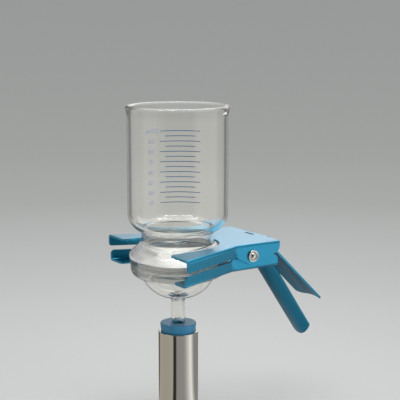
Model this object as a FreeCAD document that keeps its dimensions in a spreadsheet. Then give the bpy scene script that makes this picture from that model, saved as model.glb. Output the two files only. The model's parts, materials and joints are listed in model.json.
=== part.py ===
"""Vacuum filtration unit: glass funnel and base held by a sprung sheet clamp on a stoppered steel column.

Millimetres, +Z up. The origin is the centre of the column's foot, on the axis of the glass.
Every piece but the column is drawn about the seam between funnel and base, then raised to its height.
The clamp's handles point along +X. Both jaws are folded from one sheet each.
"""
import FreeCAD, Part

import os
import re

import Sketcher

SIZES = {
    # column and stopper
    "column_height": 60.0,
    "column_radius": 14.2,
    "column_wall": 1.8,
    "column_edge": 0.5,
    "stopper_length": 25.0,
    "stopper_proud": 6.0,
    "stopper_taper": 6.4,
    "stopper_edge": 0.6,
    "stopper_play": 0.05,
    # glass base
    "stem_radius": 4.8,
    "stem_bore": 3.2,
    "stem_shown": 18.5,
    "stem_tail": 22.5,
    "stem_bevel": 35.0,
    "stem_root": 3.0,
    "stem_mouth": 2.0,
    "bowl_radius": 24.5,
    "bowl_out": 3.0,
    "bowl_down": 4.5,
    "bowl_wall": 2.5,
    "bowl_crown": 8.0,
    "bowl_waist": 8.9,
    "flange_radius": 34.2,
    "flange_rake": 0.6,
    "flange_side": 6.4,
    "flange_round": 6.8,
    "ledge_width": 1.2,
    # filter
    "frit_radius": 19.0,
    "frit_thickness": 4.5,
    "membrane_radius": 23.5,
    "membrane_thickness": 0.2,
    # glass funnel
    "funnel_height": 108.0,
    "funnel_radius": 35.4,
    "funnel_wall": 2.7,
    "bead_proud": 1.0,
    "bead_height": 6.4,
    "bead_round": 2.0,
    "shoulder_radius": 14.0,
    "shoulder_height": 32.7,
    "shoulder_fillet": 1.5,
    "neck_radius": 25.9,
    "neck_wall": 2.9,
    "neck_fillet": 2.0,
    "throat_top": 9.5,
    "throat_low": 2.5,
    "cone_slope": 41.5,
    "cone_edge_height": 5.0,
    "cone_edge_radius": 33.4,
    "cone_edge_round": 4.2,
    # clamp sheet
    "sheet": 1.5,
    "fold_round": 2.3,
    "seat_play": 0.3,
    "side_gap": 0.8,
    "upper_face": 10.43,
    "lower_face": 8.76,
    "upper_arm_depth": 8.4,
    "lower_arm_depth": 8.1,
    "tip_reach": 26.2,
    "tip_flare": 6.0,
    "tip_corner": 3.0,
    "upper_tip_round": 1.5,
    "lower_tip_round": 3.0,
    "arm_corner": 28.2,
    "arm_splay": 22.4,
    "plan_round": 14.0,
    "rear_half_width": 32.0,
    "rear_reach": 66.3,
    "slot_length": 10.0,
    "slot_width": 2.0,
    "slot_inset": 3.0,
    # hinge
    "pivot_reach": 42.4,
    "pivot_height": 1.8,
    "pin_radius": 2.0,
    "pin_play": 0.05,
    "boss_radius": 6.6,
    "boss_ramp": 28.0,
    "upper_tail_depth": 3.6,
    "lower_tail_depth": 4.4,
    "upper_tail_round": 5.5,
    "lower_tail_round": 4.6,
    "head_radius": 4.3,
    "head_edge": 1.0,
    "head_bead": 0.6,
    "head_bead_width": 1.1,
    "dome_radius": 2.7,
    "dome_height": 2.4,
    "pin_tail": 0.9,
    "washer_radius": 5.2,
    "washer_thickness": 0.5,
    "spacer_radius": 4.3,
    # handles
    "upper_bend": 4.0,
    "lower_bend": 0.8,
    "upper_drop": 44.4,
    "lower_drop": 55.9,
    "upper_handle_length": 75.2,
    "lower_handle_length": 77.8,
    "upper_handle_half": 15.1,
    "lower_handle_half": 12.8,
    "upper_handle_curve": 43.6,
    "lower_handle_curve": 18.9,
    "upper_handle_corner": 7.0,
    "lower_handle_corner": 12.3,
    "handle_swell": 10.0,
    # spring
    "wire_radius": 0.9,
    "coil_radius": 5.5,
    "coil_pitch": 2.1,
    "coil_turns": 5.0,
    "leg_length": 20.0,
    "spring_play": 0.1,
}

WORKED = {
    # heights about the seam, positive up
    "half_membrane": "membrane_thickness / 2",
    "bowl_bottom": "bowl_down + bowl_radius",
    "stopper_top": "-(bowl_bottom + stem_shown)",
    "stem_end": "stopper_top - stopper_length - stem_tail",
    "seam_height": "column_height + stopper_proud - stopper_top",
    "upper_web_under": "upper_face - sheet",
    # radii that follow a wall
    "funnel_bore": "funnel_radius - funnel_wall",
    "neck_bore": "neck_radius - neck_wall",
    "column_bore": "column_radius - column_wall",
    "bowl_bore": "bowl_radius - bowl_wall",
    "plug_radius": "column_bore - stopper_play",
    # the forks stand clear of the glass they bear on
    "cone_fall": "(upper_web_under - cone_edge_height) / tan(cone_slope)",
    "upper_seat": "cone_edge_radius - cone_fall + seat_play / sin(cone_slope)",
    "lower_seat": "flange_radius - flange_rake + seat_play",
    "nest": "sheet + side_gap",
    "pin_bore": "pin_radius + pin_play",
    "clear": "upper_face + lower_face",
    # the spring's legs lean out until they meet the two webs
    "leg_sweep": "sqrt(coil_radius ^ 2 + leg_length ^ 2)",
    "leg_phase": "atan(leg_length / coil_radius)",
    "leg_room": "wire_radius + spring_play",
    "upper_leg_lean": "leg_phase - acos((upper_web_under - pivot_height - leg_room) / leg_sweep)",
    "lower_leg_lean": "leg_phase - acos((lower_face - sheet + pivot_height - leg_room) / leg_sweep)",
}

WORD = re.compile(r"[a-z][a-z_]+")
ORIGIN = FreeCAD.Vector(0, 0, 0)
UP = FreeCAD.Vector(0, 0, 1)
NEAR = 0.01

doc = FreeCAD.newDocument("filtration_unit")


# ---------------------------------------------------------------- sizes
def make_sheet():
    """Write every driving size into the spreadsheet under its own alias."""
    sheet = doc.addObject("Spreadsheet::Sheet", "Sizes")
    for row, (name, number) in enumerate(SIZES.items(), start=1):
        sheet.set(f"A{row}", name)
        sheet.set(f"B{row}", str(number))
        sheet.setAlias(f"B{row}", name)
    doc.recompute()
    return sheet


def bound(text):
    """The expression with each size named in full and each worked-out size written out."""
    def full(match):
        word = match.group()
        if word in SIZES:
            return "Sizes." + word
        if word in WORKED:
            return "(" + bound(WORKED[word]) + ")"
        return word
    return WORD.sub(full, text)


def number(text):
    """The present value of an expression in the sizes."""
    found = SHEET.evalExpression(bound(text))
    return float(getattr(found, "Value", found))


def drive(feature, prop, text):
    """Bind one property of a feature to an expression in the sizes."""
    feature.setExpression(prop, bound(text))


# ---------------------------------------------------------------- sketches
def new_body(label):
    """An empty body named after its piece and raised to the seam."""
    body = doc.addObject("PartDesign::Body", label)
    body.Label = label
    drive(body, "Placement.Base.z", "seam_height")
    return body


def origin_plane(body, role):
    return next(plane for plane in body.Origin.OriginFeatures if plane.Role == role)


def blank_sketch(body, role, lift=None):
    """A sketch on one of the body's own planes, lifted along its normal by an expression."""
    sketch = body.newObject("Sketcher::SketchObject", "Sketch")
    sketch.AttachmentSupport = [(origin_plane(body, role), "")]
    sketch.MapMode = "FlatFace"
    if lift:
        drive(sketch, "AttachmentOffset.Base.z", lift)
    return sketch


def hold(sketch, kind, leg, end, text):
    """Place one end of a leg by an expression, or put it on the axis where the place is zero."""
    if text == "0":
        axis = -2 if kind == "DistanceX" else -1
        sketch.addConstraint(Sketcher.Constraint("PointOnObject", leg, end, axis))
        return
    index = sketch.addConstraint(Sketcher.Constraint(kind, -1, 1, leg, end, number(text)))
    drive(sketch, f"Constraints[{index}]", text)


def arc_between(first, last, radius):
    """The short arc between two points, anticlockwise for a positive radius."""
    chord = last - first
    middle = (first + last) / 2
    reach = (radius ** 2 - (chord.Length / 2) ** 2) ** 0.5
    left = UP.cross(chord).normalize()
    centre = middle + left * (reach if radius > 0 else -reach)
    start, stop = (first, last) if radius > 0 else (last, first)
    right = FreeCAD.Vector(1, 0, 0)
    angles = [right.getAngle(p - centre) * (1 if p.y >= centre.y else -1) for p in (start, stop)]
    return Part.ArcOfCircle(Part.Circle(centre, UP, abs(radius)), angles[0], angles[1])


def outline(body, role, points, lift=None):
    """A closed sketch through points (across, up) or (across, up, radius of the arc that arrives)."""
    sketch = blank_sketch(body, role, lift)
    places = [FreeCAD.Vector(number(p[0]), number(p[1]), 0) for p in points]
    ends = []
    for leg in range(len(points)):
        target = (leg + 1) % len(points)
        if len(points[target]) == 2:
            sketch.addGeometry(Part.LineSegment(places[leg], places[target]))
            ends.append((1, 2))
            continue
        radius = points[target][2]
        size = number(radius)
        sketch.addGeometry(arc_between(places[leg], places[target], size))
        ends.append((1, 2) if size > 0 else (2, 1))
    for leg, (start, stop) in enumerate(ends):
        follower = (leg + 1) % len(points)
        sketch.addConstraint(Sketcher.Constraint("Coincident", leg, stop, follower, ends[follower][0]))
        hold(sketch, "DistanceX", leg, start, points[leg][0])
        hold(sketch, "DistanceY", leg, start, points[leg][1])
    for leg, (start, stop) in enumerate(ends):
        target = (leg + 1) % len(points)
        if len(points[target]) == 3:
            radius = points[target][2]
            size = radius[1:] if radius.startswith("-") else radius
            index = sketch.addConstraint(Sketcher.Constraint("Radius", leg, number(size)))
            drive(sketch, f"Constraints[{index}]", size)
    return sketch


def disc(body, role, across, up, radius):
    """A sketch of one circle."""
    sketch = blank_sketch(body, role)
    centre = FreeCAD.Vector(number(across), number(up), 0)
    sketch.addGeometry(Part.Circle(centre, UP, number(radius)))
    hold(sketch, "DistanceX", 0, 3, across)
    hold(sketch, "DistanceY", 0, 3, up)
    index = sketch.addConstraint(Sketcher.Constraint("Radius", 0, number(radius)))
    drive(sketch, f"Constraints[{index}]", radius)
    return sketch


# ---------------------------------------------------------------- features
def revolved(label, points):
    """A turned or blown piece: its half section spun about the vertical axis."""
    body = new_body(label)
    sketch = outline(body, "XZ_Plane", points)
    spin = body.newObject("PartDesign::Revolution", "Revolution")
    spin.Profile = sketch
    spin.ReferenceAxis = (sketch, ["V_Axis"])
    spin.Angle = 360
    return body


def pad(body, sketch, length, both_ways=False, down=False):
    """Thicken a sketch, on both sides of its plane or on one."""
    feature = body.newObject("PartDesign::Pad", "Pad")
    feature.Profile = sketch
    drive(feature, "Length", length)
    if both_ways:
        feature.SideType = "Symmetric"
    feature.Reversed = down
    return feature


def pocket(body, sketch, length=None, up=False):
    """Cut a sketch away: right through on both sides, or to a length on one side."""
    feature = body.newObject("PartDesign::Pocket", "Pocket")
    feature.Profile = sketch
    if length is None:
        feature.Type = "ThroughAll"
        feature.SideType = "Symmetric"
        return feature
    drive(feature, "Length", length)
    feature.Reversed = up
    return feature


def band_pocket(body, sketch, width):
    """Cut a sketch away to a width centred on its plane."""
    feature = body.newObject("PartDesign::Pocket", "Pocket")
    feature.Profile = sketch
    feature.SideType = "Symmetric"
    drive(feature, "Length", width)
    return feature


def rounded(body, radius, chosen):
    """Round the edges of the body's last feature that pass a test."""
    doc.recompute()
    base = body.Tip
    names = [f"Edge{i}" for i, edge in enumerate(base.Shape.Edges, start=1) if chosen(edge)]
    if not names:
        raise RuntimeError(f"{body.Label}: no edge to round by {radius}")
    fillet = body.newObject("PartDesign::Fillet", "Fillet")
    fillet.Base = (base, names)
    drive(fillet, "Radius", radius)
    doc.recompute()
    return fillet


def ends_of(edge):
    return [vertex.Point for vertex in edge.Vertexes]


def is_ring(edge, radius, height):
    """Whether an edge is a full circle about the vertical axis at this radius and height."""
    curve = edge.Curve
    if not isinstance(curve, Part.Circle):
        return False
    return abs(curve.Radius - radius) < NEAR and abs(curve.Center.z - height) < NEAR


# ---------------------------------------------------------------- glass, filter, stopper, column
def make_funnel():
    """Blown funnel: beaded rim, straight body, round shoulder, neck and conical clamping flange."""
    turn_in = "neck_fillet * tan((90 - cone_slope) / 2)"
    cone_top = "cone_edge_height + (cone_edge_radius - neck_radius) * tan(cone_slope)"
    spread = "shoulder_radius + shoulder_fillet"
    offset = "neck_radius + shoulder_fillet - funnel_radius + shoulder_radius"
    drop = f"sqrt(({spread}) ^ 2 - ({offset}) ^ 2)"
    share = f"shoulder_radius / ({spread})"
    inner = "shoulder_radius - funnel_wall"
    inner_spread = f"{inner} + shoulder_fillet"
    inner_offset = "neck_bore + shoulder_fillet - funnel_radius + shoulder_radius"
    inner_drop = f"sqrt(({inner_spread}) ^ 2 - ({inner_offset}) ^ 2)"
    inner_share = f"({inner}) / ({inner_spread})"
    step = "(neck_bore - frit_radius) / 2"
    fall = "(throat_top - throat_low) / 2"
    sweep = f"(({step}) ^ 2 + ({fall}) ^ 2) / (2 * ({step}))"
    return revolved("funnel", [
        ("frit_radius", "half_membrane"),
        ("flange_radius", "half_membrane"),
        ("cone_edge_radius", "cone_edge_height", "cone_edge_round"),
        (f"neck_radius + {turn_in} * cos(cone_slope)", f"{cone_top} - {turn_in} * sin(cone_slope)"),
        ("neck_radius", f"{cone_top} + {turn_in}", "-neck_fillet"),
        ("neck_radius", f"shoulder_height - {drop}"),
        (f"funnel_radius - shoulder_radius + ({offset}) * {share}",
         f"shoulder_height - {drop} * {share}", "-shoulder_fillet"),
        ("funnel_radius", "shoulder_height", "shoulder_radius"),
        ("funnel_radius", "funnel_height - bead_height"),
        ("funnel_radius + bead_proud", "funnel_height - bead_round"),
        ("funnel_radius + bead_proud - bead_round", "funnel_height", "bead_round"),
        ("funnel_bore", "funnel_height - funnel_wall - bead_proud + bead_round",
         "funnel_wall + bead_proud - bead_round"),
        ("funnel_bore", "shoulder_height"),
        (f"funnel_radius - shoulder_radius + ({inner_offset}) * {inner_share}",
         f"shoulder_height - {inner_drop} * {inner_share}", f"-({inner})"),
        ("neck_bore", f"shoulder_height - {inner_drop}", "shoulder_fillet"),
        ("neck_bore", "throat_top"),
        (f"frit_radius + {step}", f"throat_low + {fall}", f"-({sweep})"),
        ("frit_radius", "throat_low", sweep),
    ])


def make_base():
    """Blown base: flange with the filter's recess, round bowl, and a stem with a bevelled tip."""
    waist = "flange_side + flange_round"
    bowl_at_waist = f"bowl_out + sqrt(bowl_radius ^ 2 - ({waist} - bowl_down) ^ 2)"
    spread = "bowl_radius + stem_root"
    offset = "stem_radius + stem_root - bowl_out"
    drop = f"sqrt(({spread}) ^ 2 - ({offset}) ^ 2)"
    share = f"bowl_radius / ({spread})"
    inner_spread = "bowl_bore + stem_mouth"
    inner_offset = "stem_bore + stem_mouth - bowl_out"
    inner_drop = f"sqrt(({inner_spread}) ^ 2 - ({inner_offset}) ^ 2)"
    inner_share = f"bowl_bore / ({inner_spread})"
    ledge = "-(half_membrane + frit_thickness)"
    body = revolved("support_base", [
        ("frit_radius", "-half_membrane"),
        ("frit_radius", ledge),
        ("frit_radius - ledge_width", ledge),
        ("bowl_out + sqrt(bowl_bore ^ 2 - bowl_waist ^ 2)", "-(bowl_down + bowl_waist)", "-bowl_crown"),
        (f"bowl_out + ({inner_offset}) * {inner_share}", f"-bowl_down - {inner_drop} * {inner_share}",
         "-bowl_bore"),
        ("stem_bore", f"-bowl_down - {inner_drop}", "stem_mouth"),
        ("stem_bore", "stem_end"),
        ("stem_radius", "stem_end"),
        ("stem_radius", f"-bowl_down - {drop}"),
        (f"bowl_out + ({offset}) * {share}", f"-bowl_down - {drop} * {share}", "-stem_root"),
        (bowl_at_waist, f"-({waist})", "bowl_radius"),
        ("flange_radius - flange_rake - flange_round", f"-({waist})"),
        ("flange_radius - flange_rake", "-flange_side", "flange_round"),
        ("flange_radius", "-half_membrane"),
    ])
    rise = "2 * stem_radius * tan(stem_bevel)"
    sketch = outline(body, "XZ_Plane", [
        ("-2 * stem_radius", f"stem_end - ({rise})"),
        ("2 * stem_radius", f"stem_end - ({rise})"),
        ("2 * stem_radius", f"stem_end + ({rise})"),
        ("stem_radius", f"stem_end + ({rise})"),
        ("-stem_radius", "stem_end"),
        ("-2 * stem_radius", "stem_end"),
    ])
    pocket(body, sketch)
    return body


def make_frit():
    """Sintered glass disc fused into the base's recess."""
    return revolved("frit_disc", [
        ("0", "-(half_membrane + frit_thickness)"),
        ("frit_radius", "-(half_membrane + frit_thickness)"),
        ("frit_radius", "-half_membrane"),
        ("0", "-half_membrane"),
    ])


def make_membrane():
    """Filter membrane laid over the frit and gripped between the ground faces."""
    return revolved("filter_membrane", [
        ("0", "-half_membrane"),
        ("membrane_radius", "-half_membrane"),
        ("membrane_radius", "half_membrane"),
        ("0", "half_membrane"),
    ])


def make_stopper():
    """Bored conical stopper, seated in the column's mouth."""
    foot = "stopper_top - stopper_length"
    top_radius = "plug_radius + stopper_proud * tan(stopper_taper)"
    foot_radius = "plug_radius - (stopper_length - stopper_proud) * tan(stopper_taper)"
    body = revolved("stopper", [
        ("stem_radius + stopper_play", foot),
        (foot_radius, foot),
        (top_radius, "stopper_top"),
        ("stem_radius + stopper_play", "stopper_top"),
    ])
    rings = [(number(top_radius), number("stopper_top")), (number(foot_radius), number(foot))]
    rounded(body, "stopper_edge", lambda edge: any(is_ring(edge, *ring) for ring in rings))
    return body


def make_column():
    """Open steel tube with a flat foot."""
    body = revolved("column", [
        ("column_bore", "0"),
        ("column_radius", "0"),
        ("column_radius", "column_height"),
        ("column_bore", "column_height"),
    ])
    body.setExpression("Placement.Base.z", None)
    body.Placement = FreeCAD.Placement()
    height = number("column_height")
    rings = [(number("column_bore"), height), (number("column_radius"), height)]
    rounded(body, "column_edge", lambda edge: any(is_ring(edge, *ring) for ring in rings))
    return body


# ---------------------------------------------------------------- clamp jaws
class Jaw:
    """The expressions in which the two jaws differ. The fold runs from the web towards the flanges."""

    def __init__(self, side):
        self.side = side
        self.upper = side == "upper"
        self.inset = "0" if self.upper else "nest"
        self.face = "upper_face" if self.upper else "-lower_face"
        self.inner = "upper_face - sheet" if self.upper else "sheet - lower_face"
        self.seat = f"{side}_seat"
        self.sign = "1" if self.upper else "-1"
        self.crown = "upper_bend + sheet" if self.upper else "lower_bend"


def plan_side(inset, hand, overrun="0"):
    """One long edge of a jaw in plan, tip to rear, moved in from the upper jaw's outline."""
    corner = f"(arm_corner - ({inset}) * tan(arm_splay / 2))"
    half = f"(rear_half_width - ({inset}))"
    run = f"((plan_round + {inset}) * tan(arm_splay / 2))"
    tip = f"(tip_reach + {overrun})"
    return [
        (f"-{tip}", f"{hand} * ({half} + ({corner} + {tip}) * tan(arm_splay))"),
        (f"{corner} - {run} * cos(arm_splay)", f"{hand} * ({half} + {run} * sin(arm_splay))"),
        (f"{corner} + {run}", f"{hand} * {half}", f"{'-' if hand == '-1' else ''}(plan_round + {inset})"),
        (f"rear_reach + {overrun}", f"{hand} * {half}"),
    ]


def plan(body, inset, lift, overrun="0"):
    """Closed plan of a jaw: the near edge to the rear, then the far edge back to the tip."""
    near = plan_side(inset, "-1", overrun)
    far = plan_side(inset, "1", overrun)
    back = [far[3], far[2][:2], far[1] + ("-" + far[2][2],), far[0]]
    return outline(body, "XY_Plane", near + back, lift)


def on_long_side(height):
    """A test for edges in a level plane that follow the jaw's long sides."""
    def chosen(edge):
        level = all(abs(point.z - height) < NEAR for point in ends_of(edge))
        return level and abs(edge.CenterOfMass.y) > number("rear_half_width") / 2
    return chosen


def fold_blank(body, jaw):
    """Web and two side flanges, folded down or up, with rounded folds."""
    depth = f"({jaw.sign}) * ({jaw.face} - pivot_height) + boss_radius"
    pad(body, plan(body, jaw.inset, jaw.face), depth, down=jaw.upper)
    rounded(body, "fold_round", on_long_side(number(jaw.face)))
    hollow = plan(body, f"{jaw.inset} + sheet", jaw.inner, "clear")
    pocket(body, hollow, f"{depth} + sheet", up=not jaw.upper)
    rounded(body, "fold_round - sheet", on_long_side(number(jaw.inner)))


def flange_line(jaw):
    """Free edge of the side flanges: along the arm, round the hinge boss, then tangent to the tail."""
    side, sign = jaw.side, jaw.sign
    arm = f"({jaw.face} - ({sign}) * {side}_arm_depth)"
    tip_round = f"{side}_tip_round"
    tail = f"{side}_tail_round"
    near_x = "(pivot_reach - boss_radius * sin(boss_ramp))"
    near_z = f"(pivot_height - ({sign}) * boss_radius * cos(boss_ramp))"
    ramp_x = f"({near_x} - ({sign}) * ({arm} - {near_z}) / tan(boss_ramp))"
    end_x = f"(rear_reach - {tail})"
    end_z = f"({jaw.face} - ({sign}) * ({side}_tail_depth + {tail}))"
    run = f"({end_x} - pivot_reach)"
    rise = f"(({sign}) * ({end_z} - pivot_height))"
    tail_ramp = f"(atan({rise} / {run}) + asin(boss_radius / sqrt({run} ^ 2 + {rise} ^ 2)))"
    far_x = f"(pivot_reach + boss_radius * sin({tail_ramp}))"
    far_z = f"(pivot_height - ({sign}) * boss_radius * cos({tail_ramp}))"
    turn = "-" if jaw.upper else ""
    back = "" if jaw.upper else "-"
    return [
        ("-(tip_reach + clear)", f"{arm} + ({sign}) * {tip_round}"),
        ("-tip_reach", f"{arm} + ({sign}) * {tip_round}"),
        (f"{tip_round} - tip_reach", arm, f"{back}{tip_round}"),
        (ramp_x, arm),
        (near_x, near_z),
        (far_x, far_z, f"{back}boss_radius"),
        (end_x, end_z),
        ("rear_reach", f"{end_z} + ({sign}) * {tail}", f"{back}{tail}"),
        ("rear_reach + clear", f"{end_z} + ({sign}) * {tail}"),
        ("rear_reach + clear", f"pivot_height - ({sign}) * (boss_radius + clear)"),
        ("-(tip_reach + clear)", f"pivot_height - ({sign}) * (boss_radius + clear)"),
    ]


def cut_fork(body, jaw):
    """Open the web into a fork that fits round the glass, and round its inner tips."""
    start_x = f"-{jaw.seat} * sin(tip_flare)"
    start_y = f"({jaw.seat} * cos(tip_flare))"
    tip_y = f"({start_y} + (tip_reach + {start_x}) * tan(tip_flare))"
    past_y = f"({tip_y} + clear * tan(tip_flare))"
    sketch = outline(body, "XY_Plane", [
        ("-(tip_reach + clear)", f"-{past_y}"),
        (start_x, f"-{start_y}"),
        (jaw.seat, "0", jaw.seat),
        (start_x, start_y, jaw.seat),
        ("-(tip_reach + clear)", past_y),
    ])
    pocket(body, sketch)
    reach, inner = number("tip_reach"), number(tip_y)

    def is_tip(edge):
        at_end = all(abs(point.x + reach) < NEAR for point in ends_of(edge))
        return at_end and all(abs(abs(point.y) - inner) < NEAR for point in ends_of(edge))
    rounded(body, "tip_corner", is_tip)


def bend_height(side):
    """Height of the centre about which a handle is bent down from its web."""
    if side == "upper":
        return "(upper_face - sheet - upper_bend)"
    return "(-lower_face - lower_bend)"


def on_handle(side, radius, along="0"):
    """Side view of a point at a distance from the bend's centre and from the bend's end."""
    drop = f"{side}_drop"
    return (f"rear_reach + ({radius}) * sin({drop}) + ({along}) * cos({drop})",
            f"{bend_height(side)} + ({radius}) * cos({drop}) - ({along}) * sin({drop})")


def lean(sketch, jaw, role, along="0"):
    """Turn a sketch by the drop of a handle and set its origin on the handle's crown."""
    axis, reach_axis, height_axis = (1, 0, 0), "z", "y"
    if role == "XY_Plane":
        axis, reach_axis, height_axis = (0, 1, 0), "x", "z"
    drop = f"{jaw.side}_drop"
    reach, height = on_handle(jaw.side, jaw.crown, along)
    turn = FreeCAD.Rotation(FreeCAD.Vector(*axis), number(drop))
    sketch.AttachmentOffset = FreeCAD.Placement(ORIGIN, turn)
    drive(sketch, "AttachmentOffset.Rotation.Angle", drop)
    drive(sketch, f"AttachmentOffset.Base.{reach_axis}", reach)
    drive(sketch, f"AttachmentOffset.Base.{height_axis}", height)
    return sketch


def handle_section(body, jaw, along):
    """Curved section of a handle: an arc of sheet whose crown faces away from the other handle."""
    curve, half = f"{jaw.side}_handle_curve", f"{jaw.side}_handle_half"
    out, back = ("-", "") if jaw.upper else ("", "-")
    inner = f"({curve} - sheet)"
    inner_half = f"({half} * {inner} / {curve})"
    rise = f"{out}({curve} - sqrt({curve} ^ 2 - {half} ^ 2))"
    inner_rise = f"{out}({curve} - sqrt({inner} ^ 2 - {inner_half} ^ 2))"
    section = outline(body, "YZ_Plane", [
        (f"-{half}", rise),
        (half, rise, f"{out}{curve}"),
        (inner_half, inner_rise),
        (f"-{inner_half}", inner_rise, f"{back}{inner}"),
    ])
    return lean(section, jaw, "YZ_Plane", along)


def add_handle(body, jaw):
    """Bend a tongue down from the rear of the web, swell it into a curved handle and round its end."""
    side = jaw.side
    inner, outer = f"{side}_bend", f"({side}_bend + sheet)"
    length, half, corner = f"{side}_handle_length", f"{side}_handle_half", f"{side}_handle_corner"
    curve, centre = f"{side}_handle_curve", bend_height(side)
    flat = f"({curve} * asin({half} / {curve}) * pi / 180)"
    tongue = outline(body, "XZ_Plane", [
        ("rear_reach - sheet", f"{centre} + {inner}"),
        ("rear_reach", f"{centre} + {inner}"),
        on_handle(side, inner) + (f"-{inner}",),
        on_handle(side, outer),
        ("rear_reach", f"{centre} + {outer}", outer),
        ("rear_reach - sheet", f"{centre} + {outer}"),
    ])
    pad(body, tongue, f"2 * {flat}", both_ways=True)
    thick = f"{jaw.sign} * -sheet"
    start = outline(body, "YZ_Plane", [
        (f"-{flat}", "0"),
        (flat, "0"),
        (flat, thick),
        (f"-{flat}", thick),
    ])
    section = handle_section(body, jaw, "handle_swell")
    swell = body.newObject("PartDesign::AdditiveLoft", "Loft")
    swell.Profile = lean(start, jaw, "YZ_Plane")
    swell.Sections = [(section, [""])]
    pad(body, section, f"{length} - handle_swell")
    end = outline(body, "XY_Plane", [
        (f"{length} - {corner}", f"-{half}"),
        (length, f"{corner} - {half}", corner),
        (length, f"{half} - {corner}"),
        (f"{length} - {corner}", half, corner),
        (f"{length} - {corner}", f"{half} + clear"),
        (f"{length} + clear", f"{half} + clear"),
        (f"{length} + clear", f"-({half} + clear)"),
        (f"{length} - {corner}", f"-({half} + clear)"),
    ])
    band_pocket(body, lean(end, jaw, "XY_Plane"), "2 * clear")


def make_jaw(side):
    """One jaw: folded web and flanges, fork, hinge holes and bent handle."""
    jaw = Jaw(side)
    body = new_body(f"{side}_jaw")
    fold_blank(body, jaw)
    pocket(body, outline(body, "XZ_Plane", flange_line(jaw)))
    cut_fork(body, jaw)
    hole = "pin_radius" if jaw.upper else "pin_bore"
    pocket(body, disc(body, "XZ_Plane", "pivot_reach", "pivot_height", hole))
    if jaw.upper:
        slot = outline(body, "XY_Plane", [
            ("rear_reach - slot_inset - slot_width", "-slot_length / 2"),
            ("rear_reach - slot_inset", "-slot_length / 2"),
            ("rear_reach - slot_inset", "slot_length / 2"),
            ("rear_reach - slot_inset - slot_width", "slot_length / 2"),
        ])
        pocket(body, slot)
    add_handle(body, jaw)
    return body


# ---------------------------------------------------------------- hinge
def across(body, turn=90):
    """Lay a turned piece along the hinge axis, its top towards the front."""
    body.Placement = FreeCAD.Placement(ORIGIN, FreeCAD.Rotation(FreeCAD.Vector(1, 0, 0), turn))
    drive(body, "Placement.Base.x", "pivot_reach")
    drive(body, "Placement.Base.z", "seam_height + pivot_height")
    return body


def head_points(seat):
    """Half section of a rivet head above its seat: flat rim, raised bead and a central dome."""
    return [
        ("head_radius", seat),
        ("head_radius", f"{seat} + head_edge"),
        ("head_radius - head_bead_width", f"{seat} + head_edge", "head_bead"),
        ("dome_radius", f"{seat} + head_edge - head_bead"),
        ("0", f"{seat} + dome_height", "(dome_radius ^ 2 + (dome_height - head_edge + head_bead) ^ 2)"
                                     " / (2 * (dome_height - head_edge + head_bead))"),
    ]


def make_pin():
    """Hinge pin with a formed head at the front and a plain tail through the rear flange."""
    tail = "-(rear_half_width + pin_tail)"
    return across(revolved("pivot_pin", [
        ("0", tail),
        ("pin_radius", tail),
        ("pin_radius", "rear_half_width"),
    ] + head_points("rear_half_width")))


def make_cap():
    """Push-on cap over the pin's tail, of the same form as the head."""
    return across(revolved("pivot_cap", [
        ("0", "rear_half_width + pin_tail"),
        ("pin_radius", "rear_half_width + pin_tail"),
        ("pin_radius", "rear_half_width"),
    ] + head_points("rear_half_width")), -90)


def make_washer(label, turn):
    """Flat washer against the inner face of the upper jaw's flange."""
    seat = "rear_half_width - sheet"
    return across(revolved(label, [
        ("pin_bore", f"{seat} - washer_thickness"),
        ("washer_radius", f"{seat} - washer_thickness"),
        ("washer_radius", seat),
        ("pin_bore", seat),
    ]), turn)


def make_spacer():
    """Tube on the pin that keeps the lower jaw's flanges apart."""
    half = "rear_half_width - nest - sheet - seat_play"
    return across(revolved("spacer_tube", [
        ("pin_bore", f"-({half})"),
        ("spacer_radius", f"-({half})"),
        ("spacer_radius", half),
        ("pin_bore", half),
    ]))


def make_spring():
    """Torsion spring: a close coil on the spacer with one leg leaning on each web."""
    radius, wire = number("coil_radius"), number("wire_radius")
    pitch, leg = number("coil_pitch"), number("leg_length")
    upper_lean, lower_lean = number("upper_leg_lean"), number("lower_leg_lean")
    turns = number("coil_turns") + 0.5 - (upper_lean + lower_lean) / 360
    coil = Part.makeHelix(pitch, pitch * turns, radius)
    first, last = coil.Edges[0], coil.Edges[-1]
    start, end = first.valueAt(first.FirstParameter), last.valueAt(last.LastParameter)
    entry = first.tangentAt(first.FirstParameter)
    leaving = last.tangentAt(last.LastParameter)
    legs = [Part.LineSegment(start - entry * leg, start), Part.LineSegment(end, end + leaving * leg)]
    path = Part.Wire([legs[0].toShape()] + coil.Edges + [legs[1].toShape()])
    section = Part.Wire(Part.makeCircle(wire, start - entry * leg, entry))
    shape = path.makePipeShell([section], True, True)
    spring = doc.addObject("Part::Feature", "torsion_spring")
    spring.Label = "torsion_spring"
    spring.Shape = shape
    lay = FreeCAD.Rotation(UP, FreeCAD.Vector(-1, 0, 0), FreeCAD.Vector(0, -1, 0), "XYZ")
    lean = FreeCAD.Rotation(FreeCAD.Vector(0, 1, 0), -upper_lean)
    spring.Placement = FreeCAD.Placement(ORIGIN, lean.multiply(lay))
    drive(spring, "Placement.Base.x", "pivot_reach")
    drive(spring, "Placement.Base.y", "coil_pitch * (coil_turns + 0.5) / 2")
    drive(spring, "Placement.Base.z", "seam_height + pivot_height")
    return spring


# ---------------------------------------------------------------- whole part
def check(pieces):
    """Stop if any feature failed or any piece is not one sound solid."""
    doc.recompute()
    for item in doc.Objects:
        if "Invalid" in item.State or "Error" in item.State:
            raise RuntimeError(f"{item.Name} ({item.Label}) failed: {item.State}")
    for piece in pieces:
        shape = piece.Shape
        if shape.isNull() or not shape.isValid() or len(shape.Solids) != 1:
            raise RuntimeError(f"{piece.Label} is not one sound solid")


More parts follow.
